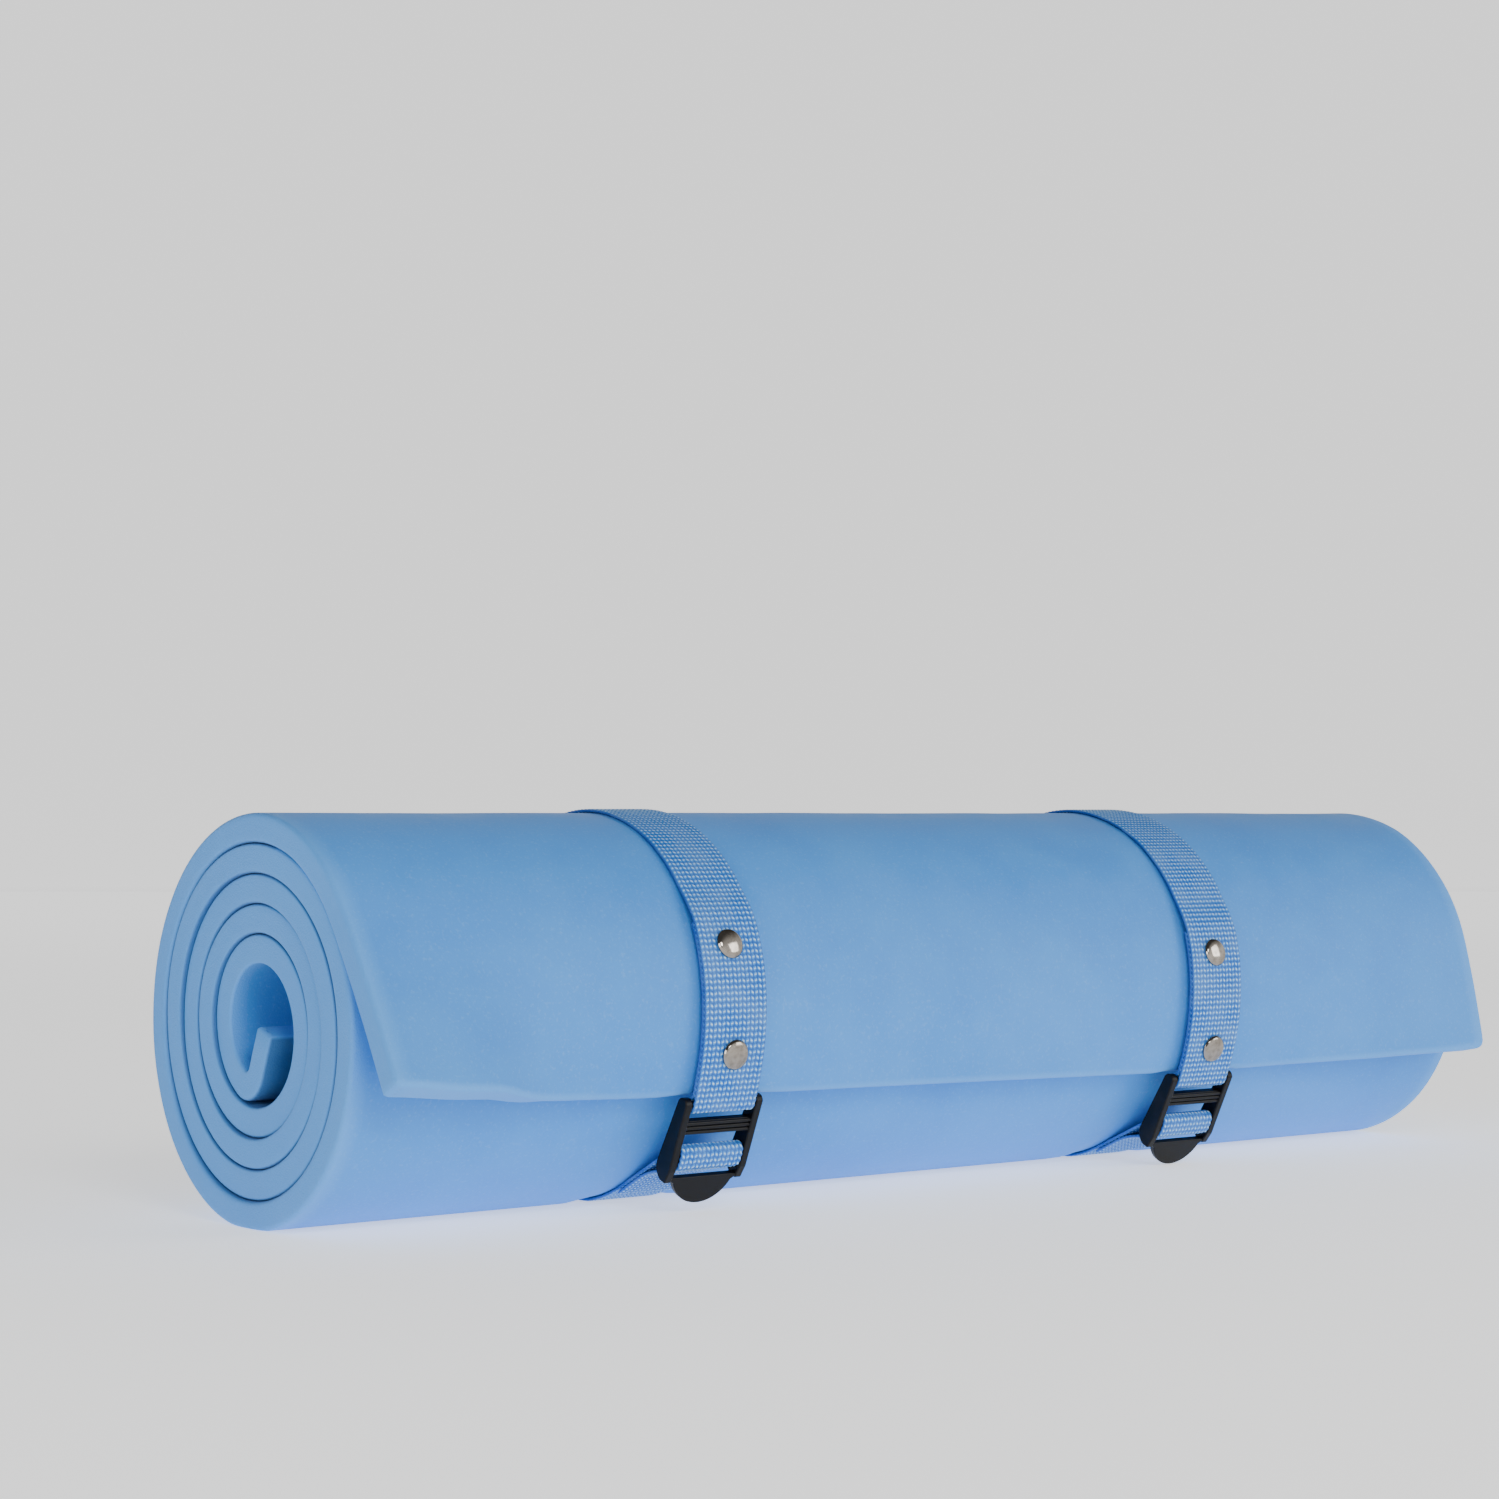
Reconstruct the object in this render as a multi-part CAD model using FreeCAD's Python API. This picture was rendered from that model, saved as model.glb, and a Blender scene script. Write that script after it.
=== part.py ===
import FreeCAD, Part
import math
import os

# A closed-cell foam sleeping pad, rolled up and held by two webbing straps, each with a
# ladder-lock buckle and two double-cap rivets. Lengths are millimetres, angles degrees.
# X runs along the roll, the flap and the buckles face the front (-Y), and Z is up.
# Angles lie in the plane across the roll: 0 points level to the front, 90 straight up.

# Foam
PAD_WIDTH = 610.0
FOAM_THICKNESS = 11.0
LAYER_GAP = 0.3
FLAP_RADIUS = 83.4  # outer surface at the pad's outer end
FLAP_ANGLE = -19.4
SPIRAL_END_ANGLE = 1678.0  # the spiral winds inwards from the flap to here
HOOK_RADIUS = 8.0  # the inner end is folded into the hollow core
HOOK_HEADING = 69.7
HOOK_STRAIGHT = 16.5
FLAT_DEPTH = 73.35  # the underside is flattened this far below the roll's centre
SPIRAL_STEP = 10.0  # angle between the points that the spiral's faces pass through

# Webbing
WEBBING_WIDTH = 30.0
WEBBING_THICKNESS = 1.4
STRAP_CLEARANCE = 0.3
PLY_GAP = 0.15
FOLD_BEYOND_RIVET = 6.8  # the folded-back ply ends this angle above the upper rivet
FOLD_RAMP = 12.0  # angle over which the strap comes back down onto the foam
PINCH_BELOW_RIVET = 3.6
SETTLE_SOFTNESS = 0.3  # rounds the change from the curved strap to its flat underside
UNDERSIDE_TRIM = 0.1  # the weight of the roll presses this much off the strap's underside
PLY_STEP = 3.0  # angle between a route's points round the roll
BAR_STEP = 12.0  # and round a bar
RUN_STEP = 4.0  # spacing of its points along a straight run
WRAP_STEP = 0.75  # and along the short straights beside a bar
MIN_STATION = 0.3  # spacing of the points that the webbing's faces pass through
MAX_STATION = 3.0
STATION_TURN = 0.2  # and the most that the webbing turns between two of them, in radians
POINTS_PER_EDGE = 30
END_TRIM = 1e-9  # share of a curve left off, so that its very end can be evaluated

# Ladder-lock buckle; heights are along the buckle from its top bar, up positive
BUCKLE_INNER_WIDTH = 31.0
RAIL_WIDTH = 3.4
RAIL_TOP = 3.6
RAIL_SHOULDER = 1.6  # the rounded top of a rail starts here
RAIL_DEPTH = 2.8
RAIL_EDGE = 0.6
RAIL_TAPER = 5.5  # the rails thin down to the tab over this height
RAIL_INTO_TAB = 2.0
BELLY_DEPTH = 6.2  # the rails deepen towards the roll, most of all just above the tab
BELLY_HEIGHT = -26.5
HEEL_RISE = 2.0  # the rounded heel passes this far above the rail's foot
HEEL_INSET = 1.6  # and this much less deep than the belly
TOP_BAR_RADIUS = 1.5
RIDGED_BAR_CENTRE = -8.7
RIDGED_BAR_HEIGHT = 6.0
RIDGED_BAR_DEPTH = 3.0
RIDGE_RADIUS = 0.8
RIDGE_SPACING = 1.9
LOCK_BAR_CENTRE = -22.0
LOCK_BAR_HEIGHT = 7.6
LOCK_BAR_DEPTH = 3.6
TAB_TOP = -30.2
TAB_SHOULDER = -32.8
TAB_TIP = -42.0
TAB_WIDTH = 28.0
TAB_THICKNESS = 3.0
BAR_END_OVERLAP = 0.5  # the bars run this far into the side rails

# Rivets
CAP_RADIUS = 6.0
CAP_HEIGHT = 2.4
CAP_RIM = 0.6
POST_RADIUS = 1.75
BACK_RADIUS = 4.5
BACK_THICKNESS = 0.8
RIVET_PLAY = 0.1
CAP_LIFT = 0.2  # the flat cap stands this far off the curved strap at its middle
HOLE_SPARE = 1.0  # the holes are cut this far past the webbing

# Where the webbing passes the buckle
BAR_BELOW_FLAP = 3.2  # angle from the flap's edge down to the top bar, just under the edge
BAR_PROUD = 0.6  # the top bar's middle is this far outside the flap's surface
EDGE_BEND = 1.6  # the strap's inner ply turns in under the flap's edge with this radius
WRAP_LEAD = 1.5  # the wrap starts this far before it touches the lock bar
JOIN_GAP = 0.5  # between the wrap and the runs that carry on from it
TAIL_HEADING = 190.0
TAIL_LEAD = 4.5
TAIL_FREE_RUN = 26.0
TAIL_OFFSET = 1.6
TAIL_END_PAST_TANGENT = 3.0
TANGENT_GUESS = 295.0  # where the load run leaves the roll, before it is worked out
TANGENT_ROUNDS = 4

# Each strap: its place along the roll, the angle at which it turns in under the flap, and its
# rivets, which sit a little right of its middle because each strap lies slightly askew
STRAPS = {
    "left": {
        "x": -142.5,
        "flap": -19.4,
        "rivets": {"upper": {"angle": 20.2, "x": -140.0}, "lower": {"angle": -8.5, "x": -141.3}},
    },
    "right": {
        "x": 124.5,
        "flap": -22.7,
        "rivets": {"upper": {"angle": 12.9, "x": 127.0}, "lower": {"angle": -15.2, "x": 125.6}},
    },
}

LAYER_PITCH = FOAM_THICKNESS + LAYER_GAP
FIRST_PLY = STRAP_CLEARANCE + WEBBING_THICKNESS / 2  # foam surface to the ply's middle
PLY_RISE = WEBBING_THICKNESS + PLY_GAP
ROLL_HEIGHT = FLAT_DEPTH + STRAP_CLEARANCE + PLY_GAP + WEBBING_THICKNESS  # above the floor
BAR_ORBIT = FLAP_RADIUS + BAR_PROUD
LOOP_RADIUS = TOP_BAR_RADIUS + PLY_GAP + WEBBING_THICKNESS / 2
WRAP_RADIUS = LOCK_BAR_DEPTH / 2 + PLY_GAP + WEBBING_THICKNESS / 2
CAP_SEAT = STRAP_CLEARANCE + 2 * WEBBING_THICKNESS + PLY_GAP + CAP_LIFT  # foam to cap


def unit(angle):
    return FreeCAD.Vector(0, -math.cos(math.radians(angle)), math.sin(math.radians(angle)))


def polar(radius, angle):
    return unit(angle) * radius


def angle_of(point):
    return math.degrees(math.atan2(point.z, -point.y))


def steps(start, end, size):
    count = max(1, round(abs(end - start) / size))
    return [start + (end - start) * i / count for i in range(count + 1)]


def arc_points(centre, radius, start, end, size=BAR_STEP):
    return [centre + polar(radius, angle) for angle in steps(start, end, size)]


def line_points(start, end, size=RUN_STEP):
    length = start.distanceToPoint(end)
    return [start + (end - start) * (s / length) for s in steps(0, length, size)]


def smooth(value):
    value = min(1.0, max(0.0, value))
    return value * value * (3 - 2 * value)


def interpolated(points):
    curve = Part.BSplineCurve()
    curve.interpolate(points)
    return curve.toShape()


def box(x_low, x_high, y_low, y_high, z_low, z_high):
    corner = FreeCAD.Vector(x_low, y_low, z_low)
    return Part.makeBox(x_high - x_low, y_high - y_low, z_high - z_low, corner)


def space_below(depth):
    """A large block under the level that is this far below the roll's centre."""
    reach = PAD_WIDTH
    return box(-reach, reach, -reach, reach, -reach, -depth)


# ---- foam ----


def surface_radius(angle):
    """Outer surface of the spiral, at an angle that keeps rising as it winds inwards."""
    return FLAP_RADIUS - LAYER_PITCH * (angle - FLAP_ANGLE) / 360


def spiral_side(angle, side):
    """A point half the foam's thickness to one side (1 outer, -1 inner) of its middle line."""
    radius = surface_radius(angle) - FOAM_THICKNESS / 2
    inward = LAYER_PITCH / (2 * math.pi)
    normal = unit(angle) * radius + unit(angle + 90) * inward
    normal.normalize()
    return polar(radius, angle) + normal * (side * FOAM_THICKNESS / 2)


def hook_edges(start, middle, finish, radius):
    """One side of the folded inner end: a bend about its middle, then a straight."""
    first = angle_of(start - middle)
    if first > 0:
        first -= 360
    bend_end = middle + polar(radius, finish)
    half_way = middle + polar(radius, (first + finish) / 2)
    tip = bend_end + unit(HOOK_HEADING) * HOOK_STRAIGHT
    return [Part.Arc(start, half_way, bend_end).toShape(), Part.makeLine(bend_end, tip)], tip


def foam_section():
    angles = steps(FLAP_ANGLE, SPIRAL_END_ANGLE, SPIRAL_STEP)
    outer = [spiral_side(angle, 1) for angle in angles]
    inner = [spiral_side(angle, -1) for angle in angles]
    inwards = inner[-1] - outer[-1]
    inwards.normalize()
    middle = outer[-1] + inwards * (FOAM_THICKNESS / 2 + HOOK_RADIUS)
    finish = HOOK_HEADING - 90
    outer_radius = HOOK_RADIUS + FOAM_THICKNESS / 2
    inner_radius = HOOK_RADIUS - FOAM_THICKNESS / 2
    outer_hook, outer_tip = hook_edges(outer[-1], middle, finish, outer_radius)
    inner_hook, inner_tip = hook_edges(inner[-1], middle, finish, inner_radius)
    edges = [interpolated(outer), interpolated(inner)]
    edges += outer_hook + inner_hook
    edges.append(Part.makeLine(outer_tip, inner_tip))
    edges.append(Part.makeLine(outer[0], inner[0]))
    return Part.Face(Part.Wire(Part.__sortEdges__(edges)))


def foam_pad():
    section = foam_section()
    section.translate(FreeCAD.Vector(-PAD_WIDTH / 2, 0, 0))
    pad = section.extrude(FreeCAD.Vector(PAD_WIDTH, 0, 0))
    return pad.cut(space_below(FLAT_DEPTH))


# ---- webbing ----


def stations(edge):
    """Lengths along an edge, closer together where it bends tightly or is about to."""
    usable = edge.Length * (1 - END_TRIM)

    def bend(along):
        return edge.curvatureAt(edge.getParameterByLength(min(along, usable)))

    found = [0.0]
    while found[-1] < usable - MIN_STATION:
        step = MAX_STATION
        here = found[-1]
        while step > MIN_STATION:
            tightest = max(bend(along) for along in steps(here, here + step, MIN_STATION))
            if step * tightest < STATION_TURN:
                break
            step = max(MIN_STATION, step / 2)
        found.append(here + step)
    return [along * usable / found[-1] for along in found]


def chord_lengths(places):
    """Length along a row of points, measured straight from each to the next."""
    lengths = [0.0]
    for before, after in zip(places, places[1:]):
        lengths.append(lengths[-1] + before.distanceToPoint(after))
    return lengths


def side_edges(places, headings):
    """Smooth edges through a row of points, a few at a time so that each stays simple."""
    edges = []
    for first in range(0, len(places) - 1, POINTS_PER_EDGE):
        last = min(first + POINTS_PER_EDGE, len(places) - 1)
        curve = Part.BSplineCurve()
        curve.interpolate(
            places[first : last + 1],
            Parameters=chord_lengths(places[first : last + 1]),
            InitialTangent=headings[first],
            FinalTangent=headings[last],
            Scale=False,
        )
        edges.append(curve.toShape())
    return edges


def band_section(route):
    """Face of a band of webbing centred on a smooth route in the plane across the roll."""
    centre = interpolated(route)
    left = []
    right = []
    headings = []
    for along in stations(centre):
        parameter = centre.getParameterByLength(along)
        heading = centre.tangentAt(parameter)
        normal = FreeCAD.Vector(1, 0, 0).cross(heading)
        left.append(centre.valueAt(parameter) + normal * (WEBBING_THICKNESS / 2))
        right.append(centre.valueAt(parameter) - normal * (WEBBING_THICKNESS / 2))
        headings.append(heading)
    edges = side_edges(left, headings) + side_edges(right, headings)
    edges.append(Part.makeLine(left[-1], right[-1]))
    edges.append(Part.makeLine(right[0], left[0]))
    return Part.Face(Part.Wire(Part.__sortEdges__(edges)))


def band(route, x):
    section = band_section(route)
    section.translate(FreeCAD.Vector(x - WEBBING_WIDTH / 2, 0, 0))
    return section.extrude(FreeCAD.Vector(WEBBING_WIDTH, 0, 0))


def settled(point):
    """Lift a point of the strap's middle line to the flat underside, with a soft change."""
    depth = point.z + ROLL_HEIGHT + UNDERSIDE_TRIM - WEBBING_THICKNESS / 2
    rise = (math.hypot(depth, SETTLE_SOFTNESS) - depth) / 2
    return point + FreeCAD.Vector(0, 0, rise)


def facing(strap):
    """Angle of the top bar round the roll, which is also the way that the buckle faces."""
    return strap["flap"] - BAR_BELOW_FLAP


def bar_centre(strap):
    return polar(BAR_ORBIT, facing(strap))


def on_buckle(strap, height):
    """A point on the buckle's middle plane, measured along its length from the top bar."""
    return bar_centre(strap) + unit(facing(strap) + 90) * height


def lock_bar_ends(strap):
    half = LOCK_BAR_HEIGHT / 2 - LOCK_BAR_DEPTH / 2
    upper = on_buckle(strap, LOCK_BAR_CENTRE + half)
    lower = on_buckle(strap, LOCK_BAR_CENTRE - half)
    return upper, lower


def load_run(strap):
    """Heading and ends of the straight run from the roll's underside to the lock bar."""
    upper, _ = lock_bar_ends(strap)
    tangent = TANGENT_GUESS
    for _ in range(TANGENT_ROUNDS):
        orbit = surface_radius(tangent) + FIRST_PLY
        spread = math.degrees(math.acos(-(orbit + WRAP_RADIUS) / upper.Length))
        heading = angle_of(upper) - 90 + spread
        tangent = heading - 90 + 360
    return heading, polar(orbit, tangent), upper + polar(WRAP_RADIUS, heading + 90)


def leave_angle(point):
    """Angle of a point on the underside, from 180 to 360."""
    return angle_of(point) % 360


def turn_in(strap):
    """The inner ply rounds the flap's edge and runs in under it to the top bar's loop."""
    edge = strap["flap"]
    bend = polar(surface_radius(edge) + FIRST_PLY - EDGE_BEND, edge)
    bar = bar_centre(strap)
    reach = bar - bend
    heading = angle_of(reach) - math.degrees(math.asin((EDGE_BEND + LOOP_RADIUS) / reach.Length))
    route = arc_points(bend, EDGE_BEND, edge, heading + 90)
    return route + arc_points(bar, LOOP_RADIUS, heading - 90, facing(strap))


def strap_route(strap):
    fold_end = strap["rivets"]["upper"]["angle"] + FOLD_BEYOND_RIVET
    pinch = strap["rivets"]["lower"]["angle"] - PINCH_BELOW_RIVET
    heading, leave, touch = load_run(strap)
    bar = facing(strap)
    route = []
    for angle in steps(fold_end, strap["flap"], PLY_STEP)[:-1]:
        route.append(polar(surface_radius(angle) + FIRST_PLY, angle))
    route += turn_in(strap)
    opening = BAR_ORBIT + LOOP_RADIUS - surface_radius(bar) - FIRST_PLY - PLY_RISE
    for angle in steps(bar, pinch, PLY_STEP / 2)[1:-1]:
        closing = smooth((pinch - angle) / (pinch - bar))
        radius = surface_radius(angle) + FIRST_PLY + PLY_RISE + opening * closing
        route.append(polar(radius, angle))
    for angle in steps(pinch, leave_angle(leave) - PLY_STEP, PLY_STEP):
        ramp = smooth((fold_end + FOLD_RAMP - angle) / FOLD_RAMP)
        radius = surface_radius(angle) + FIRST_PLY + PLY_RISE * ramp
        route.append(settled(polar(radius, angle)))
    route += line_points(leave, touch - unit(heading) * (WRAP_LEAD + JOIN_GAP))
    return route


def wrap_route(strap):
    upper, lower = lock_bar_ends(strap)
    heading, _, touch = load_run(strap)
    over = arc_points(upper, WRAP_RADIUS, heading + 90, facing(strap))
    under = arc_points(lower, WRAP_RADIUS, facing(strap), TAIL_HEADING + 90 - 360)
    end = under[-1] + unit(TAIL_HEADING) * TAIL_LEAD
    route = line_points(touch - unit(heading) * WRAP_LEAD, touch, WRAP_STEP)[:-1]
    route += over + line_points(over[-1], under[0], WRAP_STEP)[1:-1] + under
    return route + line_points(under[-1], end, WRAP_STEP)[1:]


def tail_route(strap):
    heading, leave, touch = load_run(strap)
    start = wrap_route(strap)[-1] + unit(TAIL_HEADING) * JOIN_GAP
    below = unit(heading - 90) * TAIL_OFFSET
    route = [start, start + unit(TAIL_HEADING) * TAIL_LEAD]
    route += line_points(touch - unit(heading) * TAIL_FREE_RUN + below, leave + below)
    tangent = leave_angle(leave)
    for angle in steps(tangent, tangent - TAIL_END_PAST_TANGENT, PLY_STEP / 2)[1:]:
        route.append(polar(surface_radius(angle) + FIRST_PLY + TAIL_OFFSET, angle))
    return route


# ---- rivets ----


def placed_across(shape, angle, x):
    """Turn a shape built facing the front to face an angle, and move it along the roll."""
    shape.rotate(FreeCAD.Vector(0, 0, 0), FreeCAD.Vector(1, 0, 0), -angle)
    shape.translate(FreeCAD.Vector(x, 0, 0))
    return shape


def disc(radius, low, high):
    """A round plate facing the front, between two distances from the roll's centre."""
    return Part.makeCylinder(
        radius, high - low, FreeCAD.Vector(0, -low, 0), FreeCAD.Vector(0, -1, 0)
    )


def rivet_cap(surface):
    seat = surface + CAP_SEAT
    dome_radius = (CAP_RADIUS**2 + (CAP_HEIGHT - CAP_RIM) ** 2) / (2 * (CAP_HEIGHT - CAP_RIM))
    dome_centre = seat + CAP_HEIGHT - dome_radius
    dome = Part.makeSphere(dome_radius, FreeCAD.Vector(0, -dome_centre, 0))
    cap = dome.common(disc(CAP_RADIUS, seat, seat + CAP_HEIGHT))
    post = disc(POST_RADIUS, surface + STRAP_CLEARANCE + BACK_THICKNESS, seat + CAP_RIM)
    return cap.fuse(post).removeSplitter()


def rivet_back(surface):
    low = surface + STRAP_CLEARANCE
    return disc(BACK_RADIUS, low, low + BACK_THICKNESS)


def rivet_hole(surface):
    low = surface + STRAP_CLEARANCE
    hole = disc(POST_RADIUS + RIVET_PLAY, low - HOLE_SPARE, surface + CAP_SEAT + HOLE_SPARE)
    pocket = disc(BACK_RADIUS + RIVET_PLAY, low - HOLE_SPARE, low + BACK_THICKNESS)
    return hole.fuse(pocket)


# ---- buckle ----


def rail(x_low):
    """Side rail, rounded at the top and bellied towards the roll near the tab."""

    def at(height, out):
        return FreeCAD.Vector(x_low, -out, height)

    half_tab = TAB_THICKNESS / 2
    foot = TAB_TOP - RAIL_INTO_TAB
    shoulder = at(RAIL_SHOULDER, RAIL_DEPTH)
    nape = at(RAIL_SHOULDER, -RAIL_DEPTH)
    belly = at(BELLY_HEIGHT, -BELLY_DEPTH)
    heel = at(foot + HEEL_RISE, HEEL_INSET - BELLY_DEPTH)
    taper = at(foot + RAIL_TAPER, RAIL_DEPTH)
    edges = [
        Part.Arc(shoulder, at(RAIL_TOP, 0), nape).toShape(),
        Part.makeLine(nape, belly),
        Part.Arc(belly, heel, at(foot, -half_tab)).toShape(),
        Part.makeLine(at(foot, -half_tab), at(foot, half_tab)),
        Part.makeLine(at(foot, half_tab), taper),
        Part.makeLine(taper, shoulder),
    ]
    solid = Part.Face(Part.Wire(edges)).extrude(FreeCAD.Vector(RAIL_WIDTH, 0, 0))
    return solid.makeFillet(RAIL_EDGE, solid.Edges)


def round_bar(radius, height, length):
    start = FreeCAD.Vector(-length / 2, 0, height)
    return Part.makeCylinder(radius, length, start, FreeCAD.Vector(1, 0, 0))


def ridged_bar(length):
    bar = box(
        -length / 2,
        length / 2,
        -RIDGED_BAR_DEPTH / 2,
        RIDGED_BAR_DEPTH / 2,
        RIDGED_BAR_CENTRE - RIDGED_BAR_HEIGHT / 2,
        RIDGED_BAR_CENTRE + RIDGED_BAR_HEIGHT / 2,
    )
    bar = bar.makeFillet(RAIL_EDGE, [e for e in bar.Edges if e.Length > BUCKLE_INNER_WIDTH])
    for i in (-1, 0, 1):
        ridge = round_bar(RIDGE_RADIUS, RIDGED_BAR_CENTRE + i * RIDGE_SPACING, length)
        ridge.translate(FreeCAD.Vector(0, -RIDGED_BAR_DEPTH / 2, 0))
        bar = bar.fuse(ridge)
    return bar


def lock_bar(length):
    half = (LOCK_BAR_HEIGHT - LOCK_BAR_DEPTH) / 2
    radius = LOCK_BAR_DEPTH / 2
    low = LOCK_BAR_CENTRE - half
    high = LOCK_BAR_CENTRE + half
    bar = box(-length / 2, length / 2, -radius, radius, low, high)
    return bar.fuse([round_bar(radius, low, length), round_bar(radius, high, length)])


def thumb_tab():
    half_width = BUCKLE_INNER_WIDTH / 2 + RAIL_WIDTH - RAIL_EDGE
    half_tab = TAB_WIDTH / 2

    def at(x, height):
        return FreeCAD.Vector(x, TAB_THICKNESS / 2, height)

    edges = [
        Part.makeLine(at(-half_width, TAB_TOP), at(half_width, TAB_TOP)),
        Part.makeLine(at(half_width, TAB_TOP), at(half_tab, TAB_SHOULDER)),
        Part.Arc(at(half_tab, TAB_SHOULDER), at(0, TAB_TIP), at(-half_tab, TAB_SHOULDER)).toShape(),
        Part.makeLine(at(-half_tab, TAB_SHOULDER), at(-half_width, TAB_TOP)),
    ]
    tab = Part.Face(Part.Wire(edges)).extrude(FreeCAD.Vector(0, -TAB_THICKNESS, 0))
    return tab.makeFillet(RAIL_EDGE, tab.Edges)


def buckle():
    length = BUCKLE_INNER_WIDTH + 2 * BAR_END_OVERLAP
    pieces = [
        rail(BUCKLE_INNER_WIDTH / 2),
        rail(-BUCKLE_INNER_WIDTH / 2 - RAIL_WIDTH),
        ridged_bar(length),
        lock_bar(length),
        thumb_tab(),
    ]
    return round_bar(TOP_BAR_RADIUS, 0.0, length).fuse(pieces).removeSplitter()


# ---- assembly ----


def strap_nodes(side, strap):
    x = strap["x"]
    webbing = band(strap_route(strap), x).cut(space_below(ROLL_HEIGHT))
    nodes = {}
    for name, rivet in strap["rivets"].items():
        place = (rivet["angle"], rivet["x"])
        surface = surface_radius(rivet["angle"])
        webbing = webbing.cut(placed_across(rivet_hole(surface), *place))
        nodes[f"{side}_{name}_rivet_cap"] = placed_across(rivet_cap(surface), *place)
        nodes[f"{side}_{name}_rivet_back"] = placed_across(rivet_back(surface), *place)
    nodes[f"{side}_webbing"] = webbing
    nodes[f"{side}_webbing_wrap"] = band(wrap_route(strap), x)
    nodes[f"{side}_webbing_tail"] = band(tail_route(strap), x)
    frame = placed_across(buckle(), facing(strap), x)
    frame.translate(bar_centre(strap))
    nodes[f"{side}_ladder_lock"] = frame
    return nodes


def centre_line_shift(nodes):
    """Half the difference between how far the front and the back stand out."""
    boxes = [shape.optimalBoundingBox(True, False) for shape in nodes.values()]
    return -(min(b.YMin for b in boxes) + max(b.YMax for b in boxes)) / 2


nodes = {"foam_pad": foam_pad()}
for side, strap in STRAPS.items():
    nodes.update(strap_nodes(side, strap))

shift = FreeCAD.Vector(0, centre_line_shift(nodes), ROLL_HEIGHT)
os.makedirs("parts", exist_ok=True)
for name, shape in nodes.items():
    solid = shape.Solids[0]
    solid.translate(shift)
    solid.exportStep(f"parts/{name}.step")
    print(f"{name}: {len(shape.Solids)} solid, {solid.Volume:.1f} mm3, valid {solid.isValid()}")

print(f"roll centre y {shift.y:.3f}, z {shift.z:.3f}")
for side, strap in STRAPS.items():
    hinge = bar_centre(strap) + shift
    print(f"{side} top bar x {strap['x']:.1f}, y {hinge.y:.3f}, z {hinge.z:.3f}")
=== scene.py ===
import math

import bmesh
import bpy
import numpy as np
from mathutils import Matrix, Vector, noise


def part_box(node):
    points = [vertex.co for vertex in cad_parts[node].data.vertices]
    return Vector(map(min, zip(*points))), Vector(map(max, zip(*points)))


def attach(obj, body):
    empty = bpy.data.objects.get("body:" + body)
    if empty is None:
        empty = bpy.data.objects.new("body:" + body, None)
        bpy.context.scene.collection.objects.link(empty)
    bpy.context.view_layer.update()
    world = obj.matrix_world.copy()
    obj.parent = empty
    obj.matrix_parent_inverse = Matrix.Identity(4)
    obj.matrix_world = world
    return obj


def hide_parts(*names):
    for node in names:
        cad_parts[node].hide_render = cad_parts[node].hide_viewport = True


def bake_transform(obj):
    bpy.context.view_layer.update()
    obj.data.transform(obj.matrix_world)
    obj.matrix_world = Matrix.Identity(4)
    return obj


# A rolled foam sleeping pad with two buckled webbing straps. Lengths in this script are
# millimetres until a mesh is made, when MM turns them into metres; angles are degrees.
# Angles lie in the plane across the roll: 0 points level to the front (-Y), 90 straight up.
MM = 0.001

# Foam
PAD_WIDTH = 610.0
FOAM_THICKNESS = 11.0
LAYER_PITCH = 11.3
FLAP_RADIUS = 83.4
FLAP_ANGLE = -19.4
SPIRAL_END_ANGLE = 1678.0
HOOK_RADIUS = 8.0
HOOK_HEADING = 69.7
HOOK_STRAIGHT = 16.5
FLAT_DEPTH = 73.35  # underside below the roll's centre where a strap runs under it
FOAM_EDGE = 1.9  # radius of the foam's rounded edges
INNER_EDGE = 1.2  # they are less worn on the inner turns
CREASE_SHADE_DEPTH = 0.9  # painted shade darkens the rounded edges over this depth towards the crease between layers
FOAM_STEP = 3.4  # mesh spacing round the roll
FOAM_COLUMNS = 92  # mesh columns along the roll
SIDE_ROWS = 2  # mesh rows on the flat part of an edge, each side of its middle
CORNER_ROWS = 4
EDGE_STATIONS = (0.0, 0.12, 0.5, 1.3)  # extra mesh rings at these distances from the outer end
INNER_STATIONS = (0.0, 0.3, 1.2)  # and from the inner end
FLAP_MIDDLE_RADIUS = 78.0  # turns those distances into angles
SMALLEST_RADIUS = 20.0  # the folded inner end counts its turns as if it lay this far out
WEAR_FROM = 0.9  # the edges change from worn to sharp at this many turns inwards
WEAR_OVER = 0.1
LAYER_SHIFT = 0.8  # each turn inwards lies this much further right
WOBBLE = 0.35  # and the turns wander by this much
WOBBLE_RATE = 9.0
SAG = 0.025  # the lower half hangs this share lower between the straps
STRAP_DENT = 14.0  # beside a strap the underside comes down to the floor over this length
UNDERSIDE_TRIM = 0.1
UNDERSIDE_SOFTNESS = 0.4  # rounds the change from the roll to its flat underside
HOOK_STEP = 12.0  # angle between the folded inner end's mesh rings
HOOK_RUN_STEP = 3.0
FLAP_SAMPLES = 200
UNEVEN_HEIGHT = 0.28  # the outer skin rolls up and down by this much
UNEVEN_SCALES = ((16.0, 1.0), (43.0, 0.5))  # how fine each layer of that is, and its share
FLOOR_FADE = (0.004, 0.02)  # metres above the floor at which it starts, and over which it grows
PRESSED_FROM = 1.05  # a face is covered by another layer, and takes painted shade in its creases, beyond this many turns
CUT_EDGE = 2.0  # the foam's trimmed face shows this far in from the pad's sides; it is tinted lighter there, partly its own colour and partly a painted highlight on the rounded edge
FLAP_ROOT_ANGLE = 62.0  # above this the outer layer always lies on the roll
FLAP_SPREAD = 9.0  # angle over which the flap leaves the roll
FLAP_CURL = 0.1  # share of its curve that a lifted flap keeps
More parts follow.
